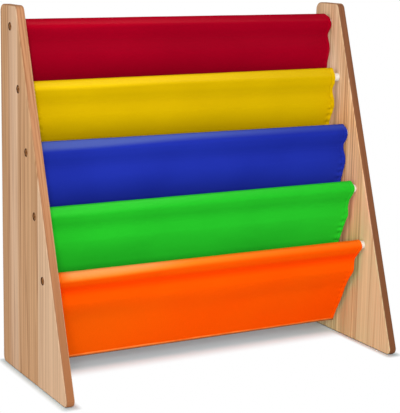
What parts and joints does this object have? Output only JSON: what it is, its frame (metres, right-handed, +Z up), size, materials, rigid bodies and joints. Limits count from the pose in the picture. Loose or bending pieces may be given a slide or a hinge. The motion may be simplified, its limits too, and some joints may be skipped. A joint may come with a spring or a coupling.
{
  "type": "sling bookshelf",
  "caption": "Low child's book rack: two sloping wooden side boards joined by cross tubes that carry a sewn cloth sling with stepped book pockets.",
  "frame": {"origin": "on the floor, midway between the two side boards and midway between their front and back ends", "axes": "+X to the right across the rack seen from the front, +Y to the back (wall side), +Z up"},
  "size_m": [0.627, 0.268, 0.6],
  "materials": {
    "board_wood": "clear satin lacquer on straight-grained pine",
    "tube_paint": "off-white powder coat",
    "plug_plastic": "black moulded plug",
    "bolt_bronze": "dark bronzed steel",
    "red_cloth": "smooth woven nylon with a soft sheen",
    "yellow_cloth": "smooth woven nylon with a soft sheen",
    "blue_cloth": "smooth woven nylon with a soft sheen",
    "green_cloth": "smooth woven nylon with a soft sheen",
    "orange_cloth": "smooth woven nylon with a soft sheen"
  },
  "bodies": {
    "root": {"left_side_board": "board_wood", "right_side_board": "board_wood", "top_tube": "tube_paint", "second_tube": "tube_paint", "third_tube": "tube_paint", "fourth_tube": "tube_paint", "lowest_tube": "tube_paint", "top_left_plug": "plug_plastic", "top_right_plug": "plug_plastic", "second_left_plug": "plug_plastic", "second_right_plug": "plug_plastic", "third_left_plug": "plug_plastic", "third_right_plug": "plug_plastic", "fourth_left_plug": "plug_plastic", "fourth_right_plug": "plug_plastic", "lowest_left_plug": "plug_plastic", "lowest_right_plug": "plug_plastic", "top_left_bolt": "bolt_bronze", "top_right_bolt": "bolt_bronze", "second_left_bolt": "bolt_bronze", "second_right_bolt": "bolt_bronze", "third_left_bolt": "bolt_bronze", "third_right_bolt": "bolt_bronze", "fourth_left_bolt": "bolt_bronze", "fourth_right_bolt": "bolt_bronze", "lowest_left_bolt": "bolt_bronze", "lowest_right_bolt": "bolt_bronze", "backing_cloth": "red_cloth", "yellow_pocket_cloth": "yellow_cloth", "blue_pocket_cloth": "blue_cloth", "green_pocket_cloth": "green_cloth", "orange_pocket_cloth": "orange_cloth"}
  },
  "joints": []
}
